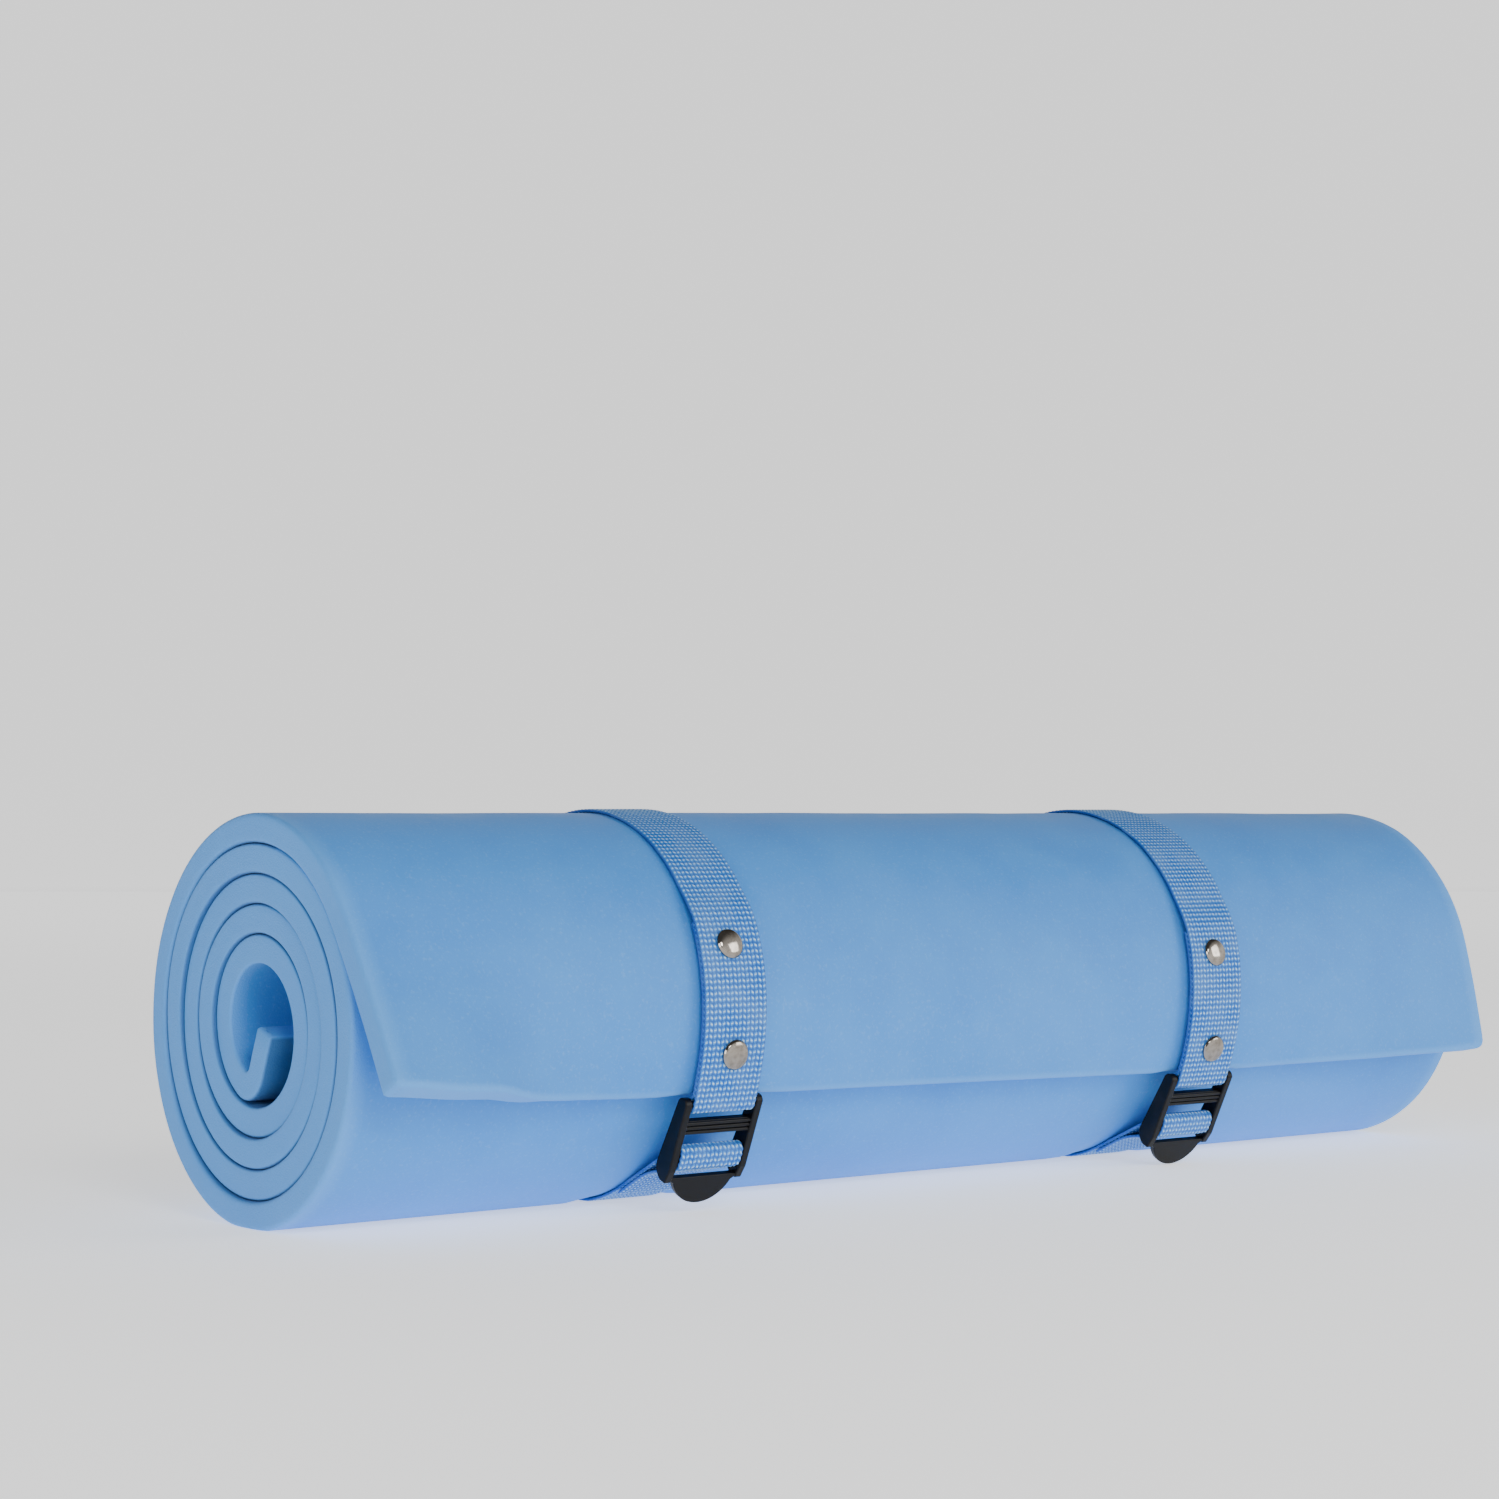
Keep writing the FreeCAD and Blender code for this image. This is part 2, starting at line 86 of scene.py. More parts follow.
# Place along the roll and angle of the flap's edge, which runs lower towards the right
FLAP_EDGE = [(-305, -17.4), (-142.5, -19.4), (124.5, -22.7), (305, -22.4)]
CORNER_REACH = 12.0  # the flap's corners are rounded over this much of its width
CORNER_RADII = (1.5, 4.5)  # left and right
# Where the flap leaves the roll: place along the roll and angle. Under a strap it never does.
FLAP_LIFT = [
    (-305, 33.5),
    (-262, 27),
    (-215, 4),
    (-176, -26),
    (-160, -34),
    (-125, -34),
    (-100, -22),
    (-60, -9),
    (0, -4),
    (50, -8),
    (90, -22),
    (107, -34),
    (142, -34),
    (165, -22),
    (205, -4),
    (255, 8),
    (305, 14),
]

# Webbing
WEBBING_WIDTH = 30.0
WEBBING_THICKNESS = 1.4
STRAP_CLEARANCE = 0.3
PLY_GAP = 0.15
FOLD_BEYOND_RIVET = 6.8
FOLD_RAMP = 12.0
PINCH_BELOW_RIVET = 3.6
SETTLE_SOFTNESS = 0.3
SETTLE_TRIM = 0.05
PLY_STEP = 3.0  # angle between a route's points round the roll
BAR_STEP = 12.0  # and round a bar
RUN_STEP = 4.0  # spacing of its points along a straight run
CURVE_STEP = 0.1  # spacing at which a route's smooth curve is measured
CORD_WIDTH = 2.0  # one woven cord across the webbing
STITCH_LENGTH = 2.3  # one weave along it
STITCH_SLANT = 0.45
STITCH_STEPS = 4  # mesh rows in one weave
CORD_STEPS = 3  # mesh columns in one cord
WEAVE_HEIGHT = 0.4
WEAVE_SUNK = 0.75  # this share of the weave's height is taken out of the webbing's core
SELVEDGE_SHARE = 0.72  # the webbing thins to this share of itself at its edges
SELVEDGE_WIDTH = 0.9  # over this much of its width
BULGE = 0.22  # its edges run in and out with the weave
BULGE_WIDTH = 1.2
SKEW_FRONT = (-40.0, 120.0)  # the strap leans from this height, over this much height
SKEW_BACK = (-75.0, 150.0)
UV_PER_METRE = 10
EDGE_TRIM = 1e-6  # keeps the webbing's far edge in its last cord
SEAM_ANGLE = 283.0  # under the roll, where the load run takes over from the main loop

# Buckle and rivets
BAR_BELOW_FLAP = 3.2
BAR_PROUD = 0.6
EDGE_BEND = 1.6
TOP_BAR_RADIUS = 1.5
LOCK_BAR_CENTRE = -22.0
LOCK_BAR_HEIGHT = 7.6
LOCK_BAR_DEPTH = 3.6
TAIL_HEADING = 190.0
TAIL_LEAD = 5.0
TAIL_FREE_RUN = 26.0
TAIL_OFFSET = 1.65
TAIL_END_PAST_TANGENT = 3.0
TANGENT_GUESS = 295.0  # where the load run leaves the roll, before it is worked out
TANGENT_ROUNDS = 4
BEND_END = 7.5  # the adjuster webbing is all on the buckle from this far before the lock bar
CAP_RADIUS = 6.0
CAP_HEIGHT = 2.5
CAP_RIM = 0.55
CAP_RIM_END = 60.0  # the rolled rim turns up to this angle
RIM_STEP = 25.0
CAP_HOLLOW = 0.05  # the cap's underside is hollow by this much
CAP_UNDERCUT = 0.7
CAP_SINK = 0.1  # the cap bites this far into the webbing
CAP_TURNS = 48
DOME_FROM = 0.12  # share of the dome's rise at its first mesh ring, and between the rings
DOME_STEP = 0.11

# Each strap: the angle at which it turns in under the flap, the angles of its rivets, and how
# far its top lies askew to the right
STRAPS = {
    "left": {"flap": -19.4, "upper": 20.2, "lower": -8.5, "skew": 5.5},
    "right": {"flap": -22.7, "upper": 12.9, "lower": -15.2, "skew": 7.0},
}

FIRST_PLY = STRAP_CLEARANCE + WEBBING_THICKNESS / 2
PLY_RISE = WEBBING_THICKNESS + PLY_GAP
ROLL_HEIGHT = FLAT_DEPTH + STRAP_CLEARANCE + PLY_GAP + WEBBING_THICKNESS
BAR_ORBIT = FLAP_RADIUS + BAR_PROUD
LOOP_RADIUS = TOP_BAR_RADIUS + PLY_GAP + WEBBING_THICKNESS / 2
WRAP_RADIUS = LOCK_BAR_DEPTH / 2 + PLY_GAP + WEBBING_THICKNESS / 2

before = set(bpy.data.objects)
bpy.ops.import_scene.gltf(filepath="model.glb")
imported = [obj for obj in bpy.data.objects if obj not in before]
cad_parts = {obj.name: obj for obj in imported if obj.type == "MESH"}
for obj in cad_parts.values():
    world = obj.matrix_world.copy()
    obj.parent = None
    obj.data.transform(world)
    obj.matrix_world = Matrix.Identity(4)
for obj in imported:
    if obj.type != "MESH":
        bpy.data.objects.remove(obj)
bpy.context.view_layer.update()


# ---- geometry in the plane across the roll: (front, up) pairs from the roll's centre ----


def unit(angle):
    return np.array([math.cos(math.radians(angle)), math.sin(math.radians(angle))])


def polar(radius, angle):
    return unit(angle) * radius


def angle_of(point):
    return math.degrees(math.atan2(point[1], point[0]))


def steps(start, end, size):
    count = max(1, round(abs(end - start) / size))
    return [start + (end - start) * i / count for i in range(count + 1)]


def arc_points(centre, radius, start, end, size=BAR_STEP):
    return [centre + polar(radius, angle) for angle in steps(start, end, size)]


def line_points(start, end, size=RUN_STEP):
    count = max(1, round(float(np.linalg.norm(end - start)) / size))
    return [start + (end - start) * i / count for i in range(count + 1)]


def smooth(value):
    value = np.clip(value, 0.0, 1.0)
    return value * value * (3 - 2 * value)


def surface_radius(angle):
    """Outer surface of the spiral, at an angle that keeps rising as it winds inwards."""
    return FLAP_RADIUS - LAYER_PITCH * (angle - FLAP_ANGLE) / 360


def roll_middle():
    """The roll's axis, (y, z) in metres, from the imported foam's own box."""
    low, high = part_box("foam_pad")
    back = max(-surface_radius(a) * math.cos(math.radians(a)) for a in range(150, 211))
    return high.y - back * MM, low.z + FLAT_DEPTH * MM


AXIS_Y, AXIS_Z = roll_middle()


def to_world(x, front, up):
    """Arrays or numbers in millimetres to an N by 3 array of metres in the row frame."""
    x, front, up = np.broadcast_arrays(x, front, up)
    return np.stack([x * MM, AXIS_Y - front * MM, AXIS_Z + up * MM], axis=-1).reshape(-1, 3)


def strap_x(side):
    low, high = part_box(f"{side}_ladder_lock")
    return (low.x + high.x) / 2 / MM


# ---- mesh helpers ----


def grid_mesh(name, points, faces, attributes=(), uv=None):
    """A smooth-shaded mesh object from arrays, with per-point attributes and a UV map."""
    mesh = bpy.data.meshes.new(name)
    mesh.from_pydata(points.tolist(), [], faces)
    for label, values in attributes:
        layer = mesh.attributes.new(label, "FLOAT", "POINT")
        layer.data.foreach_set("value", np.asarray(values, np.float32))
    if uv is not None:
        layer = mesh.uv_layers.new(name="UVMap")
        corners = np.empty(len(mesh.loops), np.int32)
        mesh.loops.foreach_get("vertex_index", corners)
        layer.data.foreach_set("uv", uv[corners].astype(np.float32).ravel())
    mesh.polygons.foreach_set("use_smooth", [True] * len(mesh.polygons))
    shape = bmesh.new()
    shape.from_mesh(mesh)
    bmesh.ops.recalc_face_normals(shape, faces=shape.faces)
    shape.to_mesh(mesh)
    shape.free()
    mesh.update()
    made = bpy.data.objects.new(name, mesh)
    bpy.context.scene.collection.objects.link(made)
    return made


def ring_faces(rings, ring_size):
    """Quads joining each closed ring of points to the next."""
    ring, place = np.meshgrid(np.arange(rings - 1), np.arange(ring_size), indexing="ij")
    here = ring * ring_size + place
    beside = ring * ring_size + (place + 1) % ring_size
    quads = np.stack([here, beside, beside + ring_size, here + ring_size], axis=-1)
    return quads.reshape(-1, 4).tolist()


def mirrored_cap(first, ring_size):
    """Quads across a ring whose second half mirrors its first, starting at its middle."""
    faces = []
    half = ring_size // 2
    for i in range(half):
        quad = [first + i, first + i + 1, first + (ring_size - i - 1) % ring_size]
        quad.append(first + (ring_size - i) % ring_size)
        faces.append(list(dict.fromkeys(quad)))
    return faces


# ---- materials ----


class Nodes:
    """Short-hand for building one node material."""

    def __init__(self, name):
        self.material = bpy.data.materials.new(name)
        self.material.use_nodes = True
        self.tree = self.material.node_tree
        self.shader = self.tree.nodes["Principled BSDF"]

    def add(self, kind, **settings):
        node = self.tree.nodes.new(kind)
        for key, value in settings.items():
            setattr(node, key, value)
        return node

    def link(self, source, target):
        self.tree.links.new(source, target)

    def fill(self, node, values):
        for key, value in values.items():
            if isinstance(value, bpy.types.NodeSocket):
                self.link(value, node.inputs[key])
            else:
                node.inputs[key].default_value = value
        return node

    def position(self):
        return self.add("ShaderNodeTexCoord").outputs["Object"]

    def attribute(self, name):
        return self.add("ShaderNodeAttribute", attribute_name=name).outputs["Fac"]

    def noise(self, scale, detail=2.0, roughness=0.5, vector=None):
        node = self.add("ShaderNodeTexNoise")
        vector = vector or self.position()
        values = {"Scale": scale, "Detail": detail, "Roughness": roughness, "Vector": vector}
        return self.fill(node, values).outputs["Fac"]

    def voronoi(self, scale):
        node = self.add("ShaderNodeTexVoronoi")
        return self.fill(node, {"Scale": scale, "Vector": self.position()}).outputs["Distance"]

    def math(self, operation, first, second=0.0):
        node = self.add("ShaderNodeMath", operation=operation)
        return self.fill(node, {0: first, 1: second}).outputs[0]

    def ramp(self, value, low, high, start=0.0, end=1.0):
        """Map value from low..high to start..end, held at the ends."""
        node = self.add("ShaderNodeMapRange")
        values = {"Value": value, "From Min": low, "From Max": high}
        values.update({"To Min": start, "To Max": end})
        return self.fill(node, values).outputs["Result"]

    def mix(self, factor, first, second, blend="MIX"):
        node = self.add("ShaderNodeMix", data_type="RGBA", blend_type=blend)
        self.fill(node, {0: factor, 6: first, 7: second})
        return node.outputs[2]

    def bump(self, height, strength, distance, normal=None):
        node = self.add("ShaderNodeBump")
        values = {"Height": height, "Strength": strength, "Distance": distance}
        if normal is not None:
            values["Normal"] = normal
        return self.fill(node, values).outputs["Normal"]

    def finish(self, **values):
        named = {key.replace("_", " "): value for key, value in values.items()}
        self.fill(self.shader, named)
        return self.material


def srgb(red, green, blue):
    """Linear colour from display values out of 255."""

    def linear(value):
        value = value / 255
        return value / 12.92 if value <= 0.04045 else ((value + 0.055) / 1.055) ** 2.4

    return (linear(red), linear(green), linear(blue), 1.0)


def foam_material():
    """Closed-cell foam: a fine skin over small cells, faintly mottled and scuffed; lighter on its
    trimmed sides and ends, partly with a painted highlight on the rounded edges; painted shade in
    the creases between layers.
    """
    n = Nodes("foam_skin")
    cloudy = n.noise(14.0, 3.0)
    patchy = n.noise(55.0, 4.0, 0.6)
    speck = n.noise(900.0, 2.0)
    cells = n.voronoi(1500.0)
    cut_face_and_highlight = n.attribute("cut_face_and_highlight")
    base = n.mix(n.ramp(cloudy, 0.35, 0.65), srgb(58, 138, 221), srgb(67, 146, 226))
    base = n.mix(n.ramp(patchy, 0.4, 0.7, 0.0, 0.35), base, srgb(77, 153, 229))
    base = n.mix(n.ramp(speck, 0.56, 0.72, 0.0, 0.22), base, srgb(128, 182, 236))
    # lighter on the trimmed sides and ends: partly their own colour, partly a painted highlight on
    # the rounded edges
    base = n.mix(n.math("MULTIPLY", cut_face_and_highlight, 0.55), base, srgb(96, 168, 240))
    # painted shade: dark navy in the creases between layers, where the layers press together
    base = n.mix(n.math("MULTIPLY", n.attribute("crease_shade"), 0.6), base, srgb(14, 44, 98))
    cell_bump = n.bump(cells, n.ramp(cut_face_and_highlight, 0.0, 1.0, 0.12, 0.4), 0.0003)
    skin_bump = n.bump(speck, 0.14, 0.0004, cell_bump)
    normal = n.bump(patchy, 0.10, 0.003, skin_bump)
    roughness = n.ramp(patchy, 0.3, 0.7, 0.55, 0.7)
    return n.finish(
        Base_Color=base, Roughness=roughness, Normal=normal, Specular_IOR_Level=0.3,
        Sheen_Weight=0.04, Sheen_Roughness=0.5,
    )


def webbing_material():
    """Woven webbing: a painted highlight on the raised cords, painted shade, dark blue, in the
    hollows between them and along the thread lines.
    """
    n = Nodes("woven_webbing")
    weave = n.attribute("weave")
    place = n.add("ShaderNodeUVMap", uv_map="UVMap").outputs["UV"]
    fibre = n.add("ShaderNodeTexWave", bands_direction="X", wave_profile="SIN")
    values = {"Scale": 160.0, "Distortion": 5.0, "Detail": 2.0, "Detail Scale": 1.5}
    values["Vector"] = place
    threads = n.fill(fibre, values).outputs["Fac"]
    uneven = n.noise(90.0, 3.0)
    # the darkest blue is painted shade for the weave's hollows and thread lines; the near-white is
    # a painted highlight for the raised cords
    hollow_shade = srgb(12, 80, 176)
    middle = srgb(46, 142, 226)
    bright = srgb(208, 242, 255)
    # painted shade in the hollows, a painted highlight on the tops of the cords, painted shade
    # along the thread lines
    base = n.mix(n.ramp(weave, 0.02, 0.35), hollow_shade, middle)
    base = n.mix(n.ramp(weave, 0.52, 0.84, 0.0, 0.95), base, bright)
    base = n.mix(n.ramp(threads, 0.2, 0.8, 0.0, 0.22), base, hollow_shade)
    base = n.mix(n.ramp(uneven, 0.35, 0.65, 0.0, 0.25), base, srgb(120, 170, 224))
    normal = n.bump(threads, 0.35, 0.0002)
    return n.finish(
        Base_Color=base, Roughness=n.ramp(weave, 0.0, 1.0, 0.62, 0.4), Normal=normal,
        Specular_IOR_Level=0.3, Sheen_Weight=0.04, Sheen_Roughness=0.4,
    )


def plastic_material():
    """Moulded black plastic with a fine satin grain and lighter rubbed places."""
    n = Nodes("moulded_black_plastic")
    grain = n.noise(2600.0, 3.0)
    worn = n.noise(120.0, 5.0, 0.65)
    base = n.mix(n.ramp(worn, 0.5, 0.75), srgb(6, 6, 8), srgb(20, 18, 20))
    normal = n.bump(grain, 0.12, 0.0002)
    roughness = n.ramp(worn, 0.35, 0.7, 0.34, 0.5)
    return n.finish(Base_Color=base, Roughness=roughness, Normal=normal, Specular_IOR_Level=0.2)


def rivet_material():
    """Nickel-bright plated steel with faint turning marks and handling haze."""
    n = Nodes("plated_rivet")
    haze = n.noise(260.0, 4.0, 0.6)
    marks = n.noise(1800.0, 2.0)
    base = n.mix(n.ramp(haze, 0.4, 0.7), srgb(156, 149, 140), srgb(122, 115, 106))
    roughness = n.ramp(haze, 0.35, 0.7, 0.06, 0.16)
    normal = n.bump(marks, 0.05, 0.0001)
    return n.finish(Base_Color=base, Metallic=1.0, Roughness=roughness, Normal=normal)


def floor_material():
    """Pale paper that takes light and shadow near the object and glows evenly far from it."""
    n = Nodes("pale_floor")
    tone = n.noise(1.5, 3.0)
    base = n.mix(n.ramp(tone, 0.3, 0.7), (0.86, 0.86, 0.86, 1), (0.88, 0.88, 0.88, 1))
    reach = n.add("ShaderNodeVectorMath", operation="LENGTH")
    distance = n.fill(reach, {0: n.position()}).outputs["Value"]
    far = n.ramp(distance, *GLOW_FADE)
    glow = n.ramp(distance, *GLOW_FADE, FLOOR_GLOW, WALL_GLOW)
    return n.finish(
        Base_Color=n.mix(far, base, (0.02, 0.02, 0.02, 1)), Roughness=0.75,
        Specular_IOR_Level=0.1, Emission_Color=(1.0, 1.0, 1.0, 1.0), Emission_Strength=glow,
    )


# ---- foam roll ----


def lift_angle(x):
    """Angle at which the flap leaves the roll at a place along it."""
    places, angles = zip(*FLAP_LIFT)
    i = int(np.clip(np.searchsorted(places, x) - 1, 0, len(places) - 2))
    share = smooth((x - places[i]) / (places[i + 1] - places[i]))
    return angles[i] + (angles[i + 1] - angles[i]) * share


def flap_line(x, stations):
    """Middle line of the outer layer, from the flap's root to its edge: points and headings.

    stations are shares of the way from the root, which keeps its place on the spiral."""
    edge = np.interp(x, *zip(*FLAP_EDGE))
    leaves = lift_angle(x)
    fine = np.linspace(0.0, 1.0, FLAP_SAMPLES)
    angles = FLAP_ROOT_ANGLE + (edge - FLAP_ROOT_ANGLE) * fine
    radii = surface_radius(angles) - FOAM_THICKNESS / 2
    keep = FLAP_CURL + (1 - FLAP_CURL) * smooth((angles - leaves + FLAP_SPREAD) / (2 * FLAP_SPREAD))
    turn = np.gradient(angles) * keep
    heading = FLAP_ROOT_ANGLE - 90 + np.cumsum(turn) - turn[0]
    run = np.abs(np.radians(np.gradient(angles))) * radii
    front = np.cos(np.radians(heading)) * run
    up = np.sin(np.radians(heading)) * run
    root = polar(radii[0], FLAP_ROOT_ANGLE)
    along = np.cumsum(front) - front[0] + root[0], np.cumsum(up) - up[0] + root[1]
    points = np.stack([np.interp(stations, fine, part) for part in along], axis=-1)
    return points, np.interp(stations, fine, heading)


def spiral_line():
    """Middle line of the rest of the sheet: points and outward normals, root to inner end."""
    points = []
    normals = []
    angle = FLAP_ROOT_ANGLE
    while angle < SPIRAL_END_ANGLE:
        radius = surface_radius(angle) - FOAM_THICKNESS / 2
        points.append(polar(radius, angle))
        normals.append(unit(angle))
        angle += math.degrees(FOAM_STEP / radius)
    heading = SPIRAL_END_ANGLE % 360 + 90 - 360
    start = polar(surface_radius(SPIRAL_END_ANGLE) - FOAM_THICKNESS / 2, SPIRAL_END_ANGLE)
    middle = start + unit(heading + 90) * HOOK_RADIUS
    for turned in steps(heading, HOOK_HEADING, HOOK_STEP):
        points.append(middle + polar(HOOK_RADIUS, turned - 90))
        normals.append(unit(turned - 90))
    tip = points[-1] + unit(HOOK_HEADING) * HOOK_STRAIGHT
    for place in line_points(points[-1], tip, HOOK_RUN_STEP)[1:]:
        points.append(place)
        normals.append(unit(HOOK_HEADING - 90))
    for i, distance in enumerate(INNER_STATIONS):
        points[-1 - i] = tip - unit(HOOK_HEADING) * distance
    return np.array(points), np.array(normals)


def foam_ring(inset, rounding):
    """Half of the sheet's rounded section, (x, depth), from the middle of one edge over the
    outer face to the middle of the other edge."""
    radius = max(rounding - inset, 0.05)
    half_width = PAD_WIDTH / 2 - inset
    half_depth = FOAM_THICKNESS / 2 - inset
    flat = half_depth - radius
    corner = [(-half_width, flat * i / SIDE_ROWS) for i in range(SIDE_ROWS)]
    for angle in steps(180, 90, 90 / CORNER_ROWS):
        bend = unit(angle) * radius
        corner.append((-half_width + radius + bend[0], flat + bend[1]))
    reach = half_width - radius
    face = [(reach * (2 * i / FOAM_COLUMNS - 1), half_depth) for i in range(1, FOAM_COLUMNS)]
    return corner + face + [(-x, depth) for x, depth in reversed(corner)]


def edge_inset(distance):
    """How far the section draws in at a distance from the sheet's end, for a round edge."""
    short = max(FOAM_EDGE - distance, 0.0)
    return FOAM_EDGE - math.sqrt(FOAM_EDGE**2 - short**2)


def underside(x):
    """Depth of the roll's underside along it: on the floor, but on the strap at each strap."""
    lowest = ROLL_HEIGHT - UNDERSIDE_TRIM
    depth = np.full_like(x, lowest)
    for side in STRAPS:
        away = np.abs(x - strap_x(side)) - WEBBING_WIDTH / 2
        dented = FLAT_DEPTH + (lowest - FLAT_DEPTH) * smooth(away / STRAP_DENT)
        depth = np.minimum(depth, dented)
    return depth


def rest_on_floor(x, up):
    """Let the lower half hang a little, and flatten what would go below the underside."""
    lower = np.minimum(up, 0.0)
    depth = underside(x)
    free = smooth((depth - FLAT_DEPTH) / (ROLL_HEIGHT - FLAT_DEPTH))
    up = up + lower * SAG * free
    spare = up + depth
    return up + (np.hypot(spare, UNDERSIDE_SOFTNESS) - spare) / 2


def flap_shares():
    """Places of the flap's rings, as shares of the way from its root, starting at its edge."""
    arc = math.radians(FLAP_ROOT_ANGLE - FLAP_ANGLE)
    count = round(arc * FLAP_RADIUS / FOAM_STEP)
    at_edge = [1 - distance / (arc * FLAP_MIDDLE_RADIUS) for distance in EDGE_STATIONS]
    return np.array(at_edge + [i / count for i in range(count - 1, 0, -1)])


def end_insets(rings):
    """How far each ring is drawn in, which only happens at the sheet's two rounded ends."""
    insets = [0.0] * rings
    for i, distance in enumerate(EDGE_STATIONS):
        insets[i] = edge_inset(distance)
    for i, distance in enumerate(INNER_STATIONS):
        insets[-1 - i] = edge_inset(distance)
    return insets


def turns_inwards(flap_rings, root_points):
    """How many turns inwards of the flap's root each ring lies; 0 on the flap."""
    radius = np.maximum(np.hypot(*root_points.T), SMALLEST_RADIUS)
    onwards = np.cumsum(FOAM_STEP / (2 * math.pi * radius))
    return np.concatenate([np.zeros(flap_rings), onwards])


def sheet_section(turned):
    """The sheet's section at each ring: places along the roll and depths from its middle."""
    wear = smooth((turned - WEAR_FROM) / WEAR_OVER)
    roundings = FOAM_EDGE + (INNER_EDGE - FOAM_EDGE) * wear
    insets = end_insets(len(turned))
    half = np.array([foam_ring(inset, edge) for inset, edge in zip(insets, roundings)])
    mirrored = half[:, -2:0:-1] * np.array([1, -1])
    section = np.concatenate([half, mirrored], axis=1)
    return section[:, :, 0], section[:, :, 1]


def wound(across, depth, shares, root_points, root_normals):
    """The section carried round the roll, and along the flap's own line on the flap."""
    front = np.empty_like(across)
    up = np.empty_like(across)
    for column in range(across.shape[1]):
        points, heading = flap_line(float(across[len(shares), column]), shares)
        away = np.radians(heading + 90)
        normal = np.stack([np.cos(away), np.sin(away)], -1)
        middle = np.concatenate([points, root_points])
        outward = np.concatenate([normal, root_normals])
        place = middle + outward * depth[:, column, None]
        front[:, column] = place[:, 0]
        up[:, column] = place[:, 1]
    return front, up


def round_corners(x, shares):
    """Draw in the flap's two corners, each with its own radius."""
    arc = math.radians(FLAP_ROOT_ANGLE - FLAP_ANGLE)
    from_edge = (1 - shares) * arc * (FLAP_RADIUS - FOAM_THICKNESS / 2)
    flap = x[: len(shares)]
    for sign, corner in zip((-1, 1), CORNER_RADII):
        short = np.clip(corner - from_edge, 0.0, corner)
        drawn_in = corner - np.sqrt(corner**2 - short**2)
        near = smooth((sign * flap - PAD_WIDTH / 2 + CORNER_REACH) / CORNER_REACH)
        flap -= sign * drawn_in[:, None] * near


def unevenness(points, front, up, outer):
    """Small rolling offsets that push the outer skin in and out, less beside the floor."""
    height = np.zeros(len(points))
    for scale, share in UNEVEN_SCALES:
        height += share * np.array([noise.noise(Vector(point) * scale) for point in points])
    out = np.stack([0 * front, -front, up], -1).reshape(-1, 3)
    out /= np.maximum(np.linalg.norm(out, axis=1), 1.0)[:, None]
    start, over = FLOOR_FADE
    off_floor = smooth((points[:, 2] - start) / over)
    return out * (height * outer.ravel() * off_floor * UNEVEN_HEIGHT * MM)[:, None]


def cut_face_and_highlight_mask(across):
    """1 where the sheet was trimmed, on its sides and its two ends: tinted lighter there, partly
    their own colour and partly a painted highlight on the rounded edges.
    """
    cut_face_and_highlight = np.zeros(across.shape)
    cut_face_and_highlight[np.abs(across) > PAD_WIDTH / 2 - CUT_EDGE] = 1.0
    cut_face_and_highlight[: len(EDGE_STATIONS)] = 1.0
    cut_face_and_highlight[-len(INNER_STATIONS) :] = 1.0
    return cut_face_and_highlight.ravel()


def crease_shade_mask(depth, turned, flap_rings):
    """Painted shade mask: 1 well inside the creases between neighbouring layers, where shade falls.
    """
    outside = turned[:, None] > PRESSED_FROM
    inside = turned[:, None] < turned[-1] - PRESSED_FROM
    pressed = np.where(depth > 0, outside, inside)
    pressed[:flap_rings] = False
    return (smooth((np.abs(depth) - FOAM_THICKNESS / 2 + CREASE_SHADE_DEPTH) / CREASE_SHADE_DEPTH) * pressed).ravel()


def foam_roll():
    shares = flap_shares()
    root_points, root_normals = spiral_line()
    turned = turns_inwards(len(shares), root_points)
    across, depth = sheet_section(turned)
    front, up = wound(across, depth, shares, root_points, root_normals)
    shift = LAYER_SHIFT * turned + WOBBLE * np.sin(turned * WOBBLE_RATE)
    x = across + shift[:, None]
    round_corners(x, shares)
    up = rest_on_floor(x, up)

    points = to_world(x, front, up)
    outer = (depth > 0) * (turned < 1.0)[:, None]
    points += unevenness(points, front, up, outer)
    rings, ring_size = x.shape
    faces = ring_faces(rings, ring_size)
    faces += mirrored_cap(0, ring_size)
    faces += mirrored_cap((rings - 1) * ring_size, ring_size)
    # colour masks: the trimmed sides and ends, lighter with a painted highlight on their rounded
    # edges, and painted shade in the creases between layers
    tints = [("cut_face_and_highlight", cut_face_and_highlight_mask(across)), ("crease_shade", crease_shade_mask(depth, turned, len(shares)))]
    return grid_mesh("foam_roll", points, faces, tints)


# ---- webbing ----


def settled(point):
    """Lift a point of the strap's middle line to the flat underside, with a soft change."""
    depth = point[1] + ROLL_HEIGHT - SETTLE_TRIM - WEBBING_THICKNESS / 2
    rise = (math.hypot(depth, SETTLE_SOFTNESS) - depth) / 2
    return point + np.array([0.0, rise])


def facing(strap):
    """Angle of the top bar round the roll, which is also the way that the buckle faces."""
    return strap["flap"] - BAR_BELOW_FLAP


def bar_centre(strap):
    return polar(BAR_ORBIT, facing(strap))


def lock_bar_ends(strap):
    along = unit(facing(strap) + 90)
    half = (LOCK_BAR_HEIGHT - LOCK_BAR_DEPTH) / 2
    upper = bar_centre(strap) + along * (LOCK_BAR_CENTRE + half)
    lower = bar_centre(strap) + along * (LOCK_BAR_CENTRE - half)
    return upper, lower


